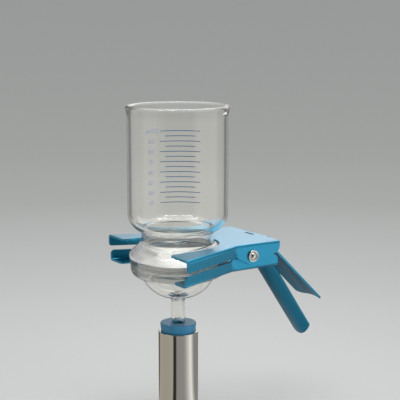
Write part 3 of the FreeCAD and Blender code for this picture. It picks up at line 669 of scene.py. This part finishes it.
class FILTRATION_OT_filter(Operator):
    """Lay the sintered disc in its recess and the membrane over it"""

    bl_idname = "filtration.filter"
    bl_label = "Filter"

    def execute(self, context):
        low, high = BOX["frit_disc"]
        rim, foot = high.x + FRIT_BITE, low.z - FRIT_BITE
        frit = lathe("frit_sintered", [(0, foot), (rim, foot), (rim, high.z), (0, high.z)],
                     made_once(fused_powder, context.scene.filtration_finish))
        stand_for(frit, "frit_disc")
        low, high = BOX["filter_membrane"]
        foot, top = low.z + MEMBRANE_SLACK, high.z - MEMBRANE_SLACK
        sheet = lathe("membrane_sheet", [(0, foot), (high.x, foot), (high.x, top), (0, top)],
                      made_once(cellulose_membrane))
        stand_for(sheet, "filter_membrane")
        return {"FINISHED"}


# ---------------------------------------------------------------- printed scale
def ink_line(radius, azimuth, half, height, scale):
    """Points and faces of one printed line: a thin closed slab bent round the body.

    Azimuth runs along the line, and four corners (inner and outer, low and high) go round its section.
    """
    turns = np.linspace(azimuth - half, azimuth + half, LINE_STEPS)[:, None]
    inner, outer = radius - scale.ink_bite, radius + scale.ink_depth
    low, high = height - scale.line_width / 2, height + scale.line_width / 2
    reach, level = np.array([outer, outer, inner, inner]), np.array([low, high, high, low])
    ring = np.stack([reach * np.cos(turns), reach * np.sin(turns), level + 0 * turns], axis=2)
    ends = np.broadcast_to(ring[[0, -1]].mean(axis=1)[:, None], (2, 4, 3))
    rows = np.concatenate([ends[:1], ring, ends[1:]])
    return rows.reshape(-1, 3), grid_faces(len(rows), 4, False, True)


def ink_digits(text, radius, azimuth, height, scale):
    """Points and faces of printed digits: flat letters rolled round the body, to be read from outside."""
    letters = bpy.data.curves.new("digits", "FONT")
    letters.body = text
    letters.size = scale.digit_height / DIGIT_SHARE
    letters.align_x, letters.align_y = "CENTER", "CENTER"
    letters.extrude = (scale.ink_depth + scale.ink_bite) / 2
    carrier = bpy.data.objects.new("digits", letters)
    mesh = bpy.data.meshes.new_from_object(carrier)
    across, up, out = read_points(mesh).T
    faces = [list(face.vertices) for face in mesh.polygons]
    bpy.data.objects.remove(carrier)
    bpy.data.curves.remove(letters)
    bpy.data.meshes.remove(mesh)
    reach = radius + out + (scale.ink_depth - scale.ink_bite) / 2
    turn = azimuth + across / radius
    return np.stack([reach * np.cos(turn), reach * np.sin(turn), height + up], axis=1), faces


class FILTRATION_OT_scale(Operator):
    """Print the graduation on the back of the funnel: alternate long and short lines, and their volumes"""

    bl_idname = "filtration.scale"
    bl_label = "Printed scale"

    def execute(self, context):
        scale, radius = context.scene.filtration_scale, context.scene.filtration_glass.body_radius
        finish = context.scene.filtration_finish
        heights = SEAM + np.linspace(scale.first_height, scale.last_height, 2 * scale.long_lines - 1)
        halves = (scale.long_half, scale.short_half)
        lines = [ink_line(radius, scale.azimuth, halves[row % 2], height, scale)
                 for row, height in enumerate(heights)]
        texts = [str(scale.first_volume + row * scale.volume_step) for row in range(scale.long_lines)]
        texts[-1] += " mL"
        volumes = [ink_digits(text, radius, scale.digit_azimuth, height, scale)
                   for text, height in zip(texts, heights[::2])]
        for name, parts, thick, thin in (("graduation_lines", lines, finish.ink, "4A7EB8"),
                                         ("graduation_volumes", volumes, finish.fine_ink, "A6BAE8")):
            faces, start = [], 0
            for points, some in parts:
                faces += [[index + start for index in face] for face in some]
                start += len(points)
            ink = fired_ink(name + "_ink", thick, thin)
            made = make_piece(name, np.concatenate([points for points, _ in parts]), faces, ink)
            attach(made, GLASS_BODY)
        return {"FINISHED"}


# ---------------------------------------------------------------- column and stopper
class FILTRATION_OT_stopper(Operator):
    """Mould the bored, tapered stopper with softly rounded edges"""

    bl_idname = "filtration.stopper"
    bl_label = "Stopper"

    def execute(self, context):
        metal = context.scene.filtration_metal
        low, high = BOX["stopper"]
        bore = context.scene.filtration_glass.stem_radius + metal.pin_play
        edge, lean = metal.stopper_edge, math.tan(metal.stopper_taper)
        foot = high.x - (high.z - low.z) * lean
        made = lathe("silicone_stopper", [
            (bore, low.z),
            (foot - edge, low.z),
            (foot + edge * lean, low.z + edge, edge),
            (high.x - edge * lean, high.z - edge),
            (high.x - edge, high.z, edge),
            (bore, high.z),
        ], made_once(moulded_silicone, context.scene.filtration_finish))
        stand_for(made, "stopper")
        return {"FINISHED"}


class FILTRATION_OT_column(Operator):
    """Turn the open steel column with rounded upper edges"""

    bl_idname = "filtration.column"
    bl_label = "Column"

    def execute(self, context):
        metal = context.scene.filtration_metal
        low, high = BOX["column"]
        bore, edge = high.x - metal.column_wall, metal.column_edge
        made = lathe("steel_column", [
            (bore, low.z),
            (high.x, low.z),
            (high.x, high.z - edge),
            (high.x - edge, high.z, edge),
            (bore + edge, high.z),
            (bore, high.z - edge, edge),
        ], made_once(mirror_steel, context.scene.filtration_finish))
        stand_for(made, "column")
        return {"FINISHED"}


# ---------------------------------------------------------------- clamp
class FILTRATION_OT_jaws(Operator):
    """Finish the two folded jaws: satin blue, with tumbled edges"""

    bl_idname = "filtration.jaws"
    bl_label = "Jaws"

    def execute(self, context):
        blue = made_once(anodised_sheet, context.scene.filtration_finish)
        for name in ("upper_jaw", "lower_jaw"):
            jaw = frame["nodes"][name]
            jaw.data.materials.clear()
            jaw.data.materials.append(blue)
            jaw.modifiers.new("join", "WELD").merge_threshold = MERGE
            flat = jaw.modifiers.new("flat", "DECIMATE")
            flat.decimate_type, flat.angle_limit = "DISSOLVE", ONE_FACE
            edge = jaw.modifiers.new("edge", "BEVEL")
            edge.width, edge.segments = context.scene.filtration_metal.edge_break, 2
            edge.limit_method, edge.angle_limit = "ANGLE", SHEET_EDGE
            edge.harden_normals = True
        return {"FINISHED"}


def head_points(metal, seat, top):
    """Half section of a rivet head above its seat: flat rim, raised bead, groove and central dome."""
    rise = metal.dome_height - metal.head_edge + metal.head_bead
    radius = (metal.dome_radius ** 2 + rise ** 2) / (2 * rise)
    return [
        (top, seat),
        (top, seat + metal.head_edge),
        (top - metal.head_bead_width, seat + metal.head_edge, metal.head_bead),
        (metal.dome_radius, seat + metal.head_edge - metal.head_bead),
        (0, seat + metal.dome_height, radius),
    ]


class FILTRATION_OT_hinge(Operator):
    """Turn the hinge pin, its cap, the washers and the spacer tube"""

    bl_idname = "filtration.hinge"
    bl_label = "Hinge"

    def execute(self, context):
        metal = context.scene.filtration_metal
        nickel = made_once(bright_nickel)
        pin, bore, soft = metal.pin_radius, metal.pin_radius + metal.pin_play, metal.washer_edge
        low, high = BOX["pivot_pin"]
        seat = BOX["pivot_cap"][0].y
        head = [(pin, seat)] + head_points(metal, seat, (high.x - low.x) / 2)
        for name, node, tail, front in (("hinge_pin", "pivot_pin", -high.y, True),
                                        ("hinge_cap", "pivot_cap", high.y, False)):
            rivet = lathe(name, [(0, tail), (pin, tail)] + head, nickel, SMALL_TURN, FINE_RUN)
            stand_for(lay_on_hinge(rivet, front), node, "upper_jaw")
        for node in ("front_washer", "rear_washer"):
            low, high = BOX[node]
            inner, outer = sorted((abs(low.y), abs(high.y)))
            radius = (high.x - low.x) / 2
            washer = lathe(node + "_disc", [
                (bore, inner), (radius - soft, inner), (radius, inner + soft, soft), (radius, outer - soft),
                (radius - soft, outer, soft), (bore, outer)], nickel, SMALL_TURN)
            stand_for(lay_on_hinge(washer, node == "front_washer"), node, "upper_jaw")
        low, high = BOX["spacer_tube"]
        radius, end = (high.x - low.x) / 2, high.y
        sleeve = lathe("spacer_sleeve", [(bore, -end), (radius, -end), (radius, end), (bore, end)],
                       made_once(drawn_aluminium), SMALL_TURN)
        stand_for(lay_on_hinge(sleeve, True), "spacer_tube", "upper_jaw")
        return {"FINISHED"}


def spring_path(metal, whole):
    """Centre line of the coil with its upper leg, or of its last half turn with the lower leg.

    At turn t the coil stands at (-r sin(t + upper), -pitch t / 2 pi, r cos(t + upper)) from the rear end of
    its axis. Each leg runs straight on from the coil, and the angles upper and lower let it lean on its web.
    """
    room = metal.wire_radius + metal.spring_play
    reach = math.hypot(metal.coil_radius, metal.leg_length)
    phase = math.atan2(metal.leg_length, metal.coil_radius)
    lift = HINGE.z - SEAM
    upper = phase - math.acos((metal.upper_face - metal.sheet - lift - room) / reach)
    lower = phase - math.acos((metal.lower_face - metal.sheet + lift - room) / reach)
    stop = math.tau * (metal.coil_turns + 0.5) - upper - lower
    start, end = (0, stop - math.pi + metal.overlap) if whole else (stop - math.pi, stop)
    turn = np.linspace(start, end, max(2, math.ceil((end - start) / ARC)))
    advance = metal.coil_pitch / math.tau
    coil = np.stack([-metal.coil_radius * np.sin(turn + upper), -advance * turn,
                     metal.coil_radius * np.cos(turn + upper)], axis=1)
    edge = 0 if whole else stop
    along = np.array([-metal.coil_radius * math.cos(edge + upper), -advance,
                      -metal.coil_radius * math.sin(edge + upper)])
    along *= metal.leg_length / np.linalg.norm(along)
    steps = np.linspace(0, 1, LEG_STEPS)[1:, None]
    leg = coil[0] - along * steps[::-1] if whole else coil[-1] + along * steps
    path = np.concatenate([leg, coil] if whole else [coil, leg])
    return path + np.array([HINGE.x, metal.coil_pitch * (metal.coil_turns + 0.5) / 2, HINGE.z])


class FILTRATION_OT_spring(Operator):
    """Wind the torsion spring in two pieces, so that each leg follows its own jaw"""

    bl_idname = "filtration.spring"
    bl_label = "Spring"

    def execute(self, context):
        metal = context.scene.filtration_metal
        wire = made_once(drawn_wire)
        coil = carried("spring_coil", spring_path(metal, True), metal.wire_radius, wire)
        leg = carried("spring_lower_leg", spring_path(metal, False), metal.wire_radius * LEG_SHARE, wire)
        stand_for(coil, "torsion_spring", "upper_jaw")
        stand_for(leg, "torsion_spring", "lower_jaw")
        return {"FINISHED"}


# ---------------------------------------------------------------- stage
# Tones as (place, hex) stops. On the paper, whose tones are painted light lightest under the object, a place
# is the share of the way out to the wall. In the others it is a share of a turn round the axis: the camera
# stands at
# 0.158, and what lies to its right comes after that. The near, far and back tones are a painted reflection
# that only polished faces see, and the glass edge tones are painted shade seen through one wall of glass.
# Painted light on the paper: lightest under the object, greyer out to the wall.
PAPER_PAINTED_LIGHT = (
    (0.0, "D6D7D6"), (0.06, "D1D3D2"), (0.128, "C8CAC9"), (0.25, "BBBDBC"), (0.434, "A9ABA9"),
    (0.74, "A0A2A0"), (1.0, "979998"))
# Painted reflection of the floor near the object, seen only by polished faces.
NEAR_PAINTED_REFLECTION = (
    (0.0, "ABA79F"), (0.075, "B0ACA4"), (0.09, "33342F"), (0.124, "33342F"), (0.137, "939493"),
    (0.24, "969797"), (0.27, "A8A8A8"), (0.31, "D0D0D0"), (0.35, "F6F6F6"), (0.37, "F6F6F6"),
    (0.405, "BCBDBC"), (0.435, "8F9191"), (0.54, "858888"), (0.63, "5C5F5E"), (0.79, "5C5D5A"),
    (0.81, "ABA79F"))
# Painted reflection of the far floor, seen only by polished faces.
FAR_PAINTED_REFLECTION = (
    (0.02, "FFFFFF"), (0.045, "A6A7A6"), (0.075, "A6A7A6"), (0.09, "33342F"), (0.124, "33342F"),
    (0.137, "3A3B3A"), (0.25, "3A3B3A"), (0.29, "FFFFFF"), (0.42, "FFFFFF"), (0.45, "9CA1A1"),
    (0.53, "8A8F8F"), (0.60, "6E7070"), (0.72, "6E7070"), (0.86, "B6B7B6"), (0.92, "B6B7B6"),
    (0.945, "FFFFFF"))
# Painted reflection of the wall, seen only by polished faces.
BACK_PAINTED_REFLECTION = (
    (0.07, "8A8B8A"), (0.1, "3A3B3A"), (0.24, "3A3B3A"), (0.29, "C8C8C8"), (0.42, "C8C8C8"),
    (0.46, "8A8B8A"), (0.52, "8A8B8A"), (0.57, "E4DDD9"), (0.668, "E4DDD9"), (0.695, "767776"))
# Painted shade on the paper seen through one wall of glass, which draws the glass's dark edges.
GLASS_EDGE_PAINTED_SHADE = (
    (0.0, "A4A4A4"), (0.05, "FFFFFF"), (0.27, "FFFFFF"), (0.34, "A4A4A4"), (0.575, "A4A4A4"),
    (0.612, "FFFFFF"), (0.703, "FFFFFF"), (0.74, "A4A4A4"))

# Ranges of distance from the axis, and one of height, in metres: where the painted reflection on polished
# faces turns to the far floor and then the wall, where the paper seen through glass is painted darker near the
# object and lighter far out, and where the paper keeps the shadow.
FAR_FLOOR = {"From Min": 0.3, "From Max": 0.6}
WALL_FOOT = {"From Min": 0.1, "From Max": 0.3}
BEHIND_GLASS = {"From Min": 0.4, "From Max": 1.0, "To Min": -0.06, "To Max": 0.2}
SHADOWED = {"From Min": 0.03, "From Max": 0.4, "To Min": 0.45, "To Max": 1.0}
# Glass bends a ray twice in one wall and four times in two, so fewer bends than this mean one wall.
ONE_WALL = 3.5
# Strength of the painted reflection that polished faces see, and of the world's light on the object.
PAINTED_REFLECTION_STRENGTH, ROOM_LIGHT = 1.4, 0.42
# The floor's middle is one flat face of this radius, and the sweep up to the wall has this many rows.
FLOOR_MIDDLE, SWEEP_STEPS = 0.02, 24
# The camera's sensor in millimetres, and the nearest and farthest that it sees, in metres.
SENSOR, CLIP_START, CLIP_END = 36, 0.05, 20

# Softboxes: name, turn from the camera in degrees, then level distance, height, width and depth in metres,
# strength, and the rays that it shows to. The strip only shows in reflections, as thin white lines.
ALL_RAYS = ("diffuse", "glossy", "transmission")
SOFTBOXES = (
    ("top_box", 180, 0.3, 1.5, 1.6, 1.6, 6, ALL_RAYS),
    ("strip_box", 0, 0.25, 1.4, 1.2, 0.12, 60, ("glossy",)),
    ("back_box", 155, 1.5, 0.95, 1.4, 0.9, 3.5, ALL_RAYS),
    ("right_box", 62, 1.1, 0.5, 0.8, 0.9, 7, ("diffuse",)),
    ("front_box", -30, 1.2, 0.3, 0.9, 0.7, 1.5, ("diffuse",)),
)


def studio_paper(stage):
    """Seamless backdrop paper with painted light: pale, lightest under the object and slowly greyer as it
    runs back and up.

    Round the foot it keeps the object's shadow. Through glass it is painted darker near the object and lighter
    far out, and rays that passed one wall of glass see painted shade at the sides, which draws the glass's
    dark edges. Polished faces see a painted reflection instead: soft light to the right, a dark gap beside
    the camera and a warm wall to the left.
    """
    material, tree, place = new_material("studio_paper")
    path = add_node(tree, "LightPath").outputs
    reach = add_node(tree, "VectorMath", {0: place}, operation="LENGTH").outputs["Value"]
    height = add_node(tree, "SeparateXYZ", {0: place}).outputs["Z"]
    around = add_node(tree, "TexGradient", {"Vector": place}, gradient_type="RADIAL").outputs["Fac"]
    out = add_node(tree, "MapRange", {"Value": reach, "From Max": stage.floor_reach + stage.sweep_round})
    far = add_node(tree, "MapRange", {"Value": reach, **FAR_FLOOR})
    risen = add_node(tree, "MapRange", {"Value": height, **WALL_FOOT})
    depth = add_node(tree, "MapRange", {"Value": reach, **BEHIND_GLASS})
    plain = add_node(tree, "MapRange", {"Value": reach, **SHADOWED})
    paper_tone, glass_edge_shade, near_tone, far_tone, back_tone = (
        add_node(tree, "ValToRGB", {0: value}, tones) for value, tones in (
            (out, PAPER_PAINTED_LIGHT), (around, GLASS_EDGE_PAINTED_SHADE), (around, NEAR_PAINTED_REFLECTION), (around, FAR_PAINTED_REFLECTION),
            (around, BACK_PAINTED_REFLECTION)))

    # Painted shade: the paper seen through one wall of glass is darkened at the sides, drawing the glass's
    # dark edges.
    grazed = add_node(tree, "Math", {0: path["Transmission Depth"], 1: ONE_WALL}, operation="LESS_THAN")
    through = add_node(tree, "Math", {0: grazed, 1: path["Is Transmission Ray"]}, operation="MULTIPLY")
    glass_edge_shade_share = add_node(tree, "Math", {0: far, 1: through}, operation="MULTIPLY")
    tone = add_node(tree, "Mix", {MIX_FACTOR: glass_edge_shade_share, MIX_FIRST: paper_tone, MIX_SECOND: glass_edge_shade},
                    data_type="RGBA", blend_type="MULTIPLY")
    # Painted light: the paper seen through glass glows a little darker near the object and lighter far out.
    lift = add_node(tree, "Math", {0: depth, 1: path["Is Transmission Ray"], 2: 1.0}, operation="MULTIPLY_ADD")
    paper = add_node(tree, "Emission", {"Color": tone.outputs[MIX_RESULT], "Strength": lift})
    lit = add_node(tree, "BsdfDiffuse", {"Color": "D4D5D4"})
    direct = add_node(tree, "Math", {0: path["Is Camera Ray"], 1: path["Is Transmission Ray"]},
                      operation="MAXIMUM")
    seen = add_node(tree, "Math", {0: direct, 1: plain}, operation="MULTIPLY")
    view = add_node(tree, "MixShader", {0: seen, 1: lit, 2: paper})

    # Painted reflection: polished faces see these glowing floor and wall tones in place of the paper.
    floors = add_node(tree, "Mix", {MIX_FACTOR: far, MIX_FIRST: near_tone, MIX_SECOND: far_tone},
                      data_type="RGBA")
    walls = add_node(tree, "Mix", {
        MIX_FACTOR: risen, MIX_FIRST: floors.outputs[MIX_RESULT], MIX_SECOND: back_tone}, data_type="RGBA")
    room = add_node(tree, "Emission", {"Color": walls.outputs[MIX_RESULT], "Strength": PAINTED_REFLECTION_STRENGTH})
    mirrored = add_node(tree, "Math", {0: path["Is Glossy Ray"], 1: path["Is Transmission Ray"]},
                        operation="GREATER_THAN")
    return finished(material, add_node(tree, "MixShader", {0: mirrored, 1: view, 2: room}))


def hang_paper(stage):
    """The backdrop: a level floor, a quarter-round sweep and an upright wall, turned about the axis."""
    foot, reach, bend = BOX["column"][0].z, stage.floor_reach, stage.sweep_round
    turns = np.linspace(-math.pi / 2, 0, SWEEP_STEPS)
    sweep = np.stack([reach + bend * np.cos(turns), foot + bend + bend * np.sin(turns)], axis=1)
    profile = np.concatenate([[[FLOOR_MIDDLE, foot]], sweep, [[reach + bend, foot + stage.wall_height]]])
    middle = list(range(SMALL_TURN))[::-1]
    mesh = bpy.data.meshes.new("backdrop")
    mesh.from_pydata(turned(profile, SMALL_TURN), [],
                     grid_faces(len(profile), SMALL_TURN, False, True).tolist() + [middle])
    mesh.materials.append(studio_paper(stage))
    mesh.polygons.foreach_set("use_smooth", np.ones(len(mesh.polygons), dtype=bool))
    paper = bpy.data.objects.new("backdrop", mesh)
    bpy.context.scene.collection.objects.link(paper)


def round_about(azimuth, distance, height):
    """A point at a level distance from the axis, at an azimuth measured as the camera's is."""
    return Vector((math.sin(azimuth) * distance, -math.cos(azimuth) * distance, height))


def softbox(name, place, width, depth, strength, rays):
    """A rectangular soft lamp that faces the seam from a place and shows only to these rays."""
    lamp = bpy.data.lights.new(name, "AREA")
    lamp.shape, lamp.size, lamp.size_y = "RECTANGLE", width, depth
    lamp.energy = strength * width * depth
    made = bpy.data.objects.new(name, lamp)
    made.location = place
    made.rotation_euler = (Vector((0, 0, SEAM)) - place).to_track_quat("-Z", "Y").to_euler()
    bpy.context.scene.collection.objects.link(made)
    made.visible_camera = False
    for ray in ALL_RAYS:
        setattr(made, "visible_" + ray, ray in rays)


def soft_room():
    """The world: an even pale light, at full strength where it is seen through glass."""
    world = bpy.data.worlds.new("soft_room")
    world.use_nodes = True
    tree = world.node_tree
    tree.nodes.clear()
    path = add_node(tree, "LightPath").outputs
    strength = add_node(tree, "MapRange", {
        "Value": path["Is Transmission Ray"], "To Min": ROOM_LIGHT, "To Max": 1.0})
    room = add_node(tree, "Background", {"Color": "E4E6E6", "Strength": strength})
    add_node(tree, "OutputWorld", {"Surface": room})
    return world


def set_camera(stage):
    """The camera, at its distance and height, turned down by its pitch and past the axis by its yaw."""
    lens = bpy.data.cameras.new("camera")
    lens.sensor_width, lens.lens = SENSOR, stage.lens
    lens.clip_start, lens.clip_end = CLIP_START, CLIP_END
    camera = bpy.data.objects.new("camera", lens)
    camera.location = round_about(stage.camera_azimuth, stage.camera_distance, SEAM + stage.camera_height)
    camera.rotation_euler = (math.pi / 2 - stage.camera_pitch, 0, stage.camera_azimuth - stage.camera_yaw)
    bpy.context.scene.collection.objects.link(camera)
    bpy.context.scene.camera = camera


class FILTRATION_OT_stage(Operator):
    """Set up the paper backdrop, the soft lamps and the camera"""

    bl_idname = "filtration.stage"
    bl_label = "Stage"

    def execute(self, context):
        stage = context.scene.filtration_stage
        hang_paper(stage)
        for name, turn, distance, height, width, depth, strength, rays in SOFTBOXES:
            place = round_about(stage.camera_azimuth + math.radians(turn), distance, height)
            softbox(name, place, width, depth, strength, rays)
        context.scene.world = soft_room()
        set_camera(stage)
        context.scene.view_settings.view_transform = "Standard"
        return {"FINISHED"}


# ---------------------------------------------------------------- panel and run
OPERATORS = (
    FILTRATION_OT_stage,
    FILTRATION_OT_funnel,
    FILTRATION_OT_base,
    FILTRATION_OT_filter,
    FILTRATION_OT_scale,
    FILTRATION_OT_stopper,
    FILTRATION_OT_column,
    FILTRATION_OT_jaws,
    FILTRATION_OT_hinge,
    FILTRATION_OT_spring,
)
SETTINGS = {
    "filtration_glass": GlassSettings,
    "filtration_scale": ScaleSettings,
    "filtration_metal": MetalSettings,
    "filtration_finish": FinishSettings,
    "filtration_stage": StageSettings,
}


class FILTRATION_PT_pieces(Panel):
    """Lists the unit's pieces in the sidebar"""

    bl_idname = "FILTRATION_PT_pieces"
    bl_label = "Vacuum Filtration Unit"
    bl_space_type = "VIEW_3D"
    bl_region_type = "UI"
    bl_category = "Filtration"

    def draw(self, context):
        for operator in OPERATORS:
            self.layout.operator(operator.bl_idname)


def register():
    for group in SETTINGS.values():
        bpy.utils.register_class(group)
    for name, group in SETTINGS.items():
        setattr(bpy.types.Scene, name, PointerProperty(type=group))
    for shown in OPERATORS + (FILTRATION_PT_pieces,):
        bpy.utils.register_class(shown)


def unregister():
    for shown in OPERATORS + (FILTRATION_PT_pieces,):
        bpy.utils.unregister_class(shown)
    for name, group in SETTINGS.items():
        delattr(bpy.types.Scene, name)
        bpy.utils.unregister_class(group)


def main():
    register()
    for operator in OPERATORS:
        group, name = operator.bl_idname.split(".")
        getattr(getattr(bpy.ops, group), name)()


if __name__ == "__main__":
    main()
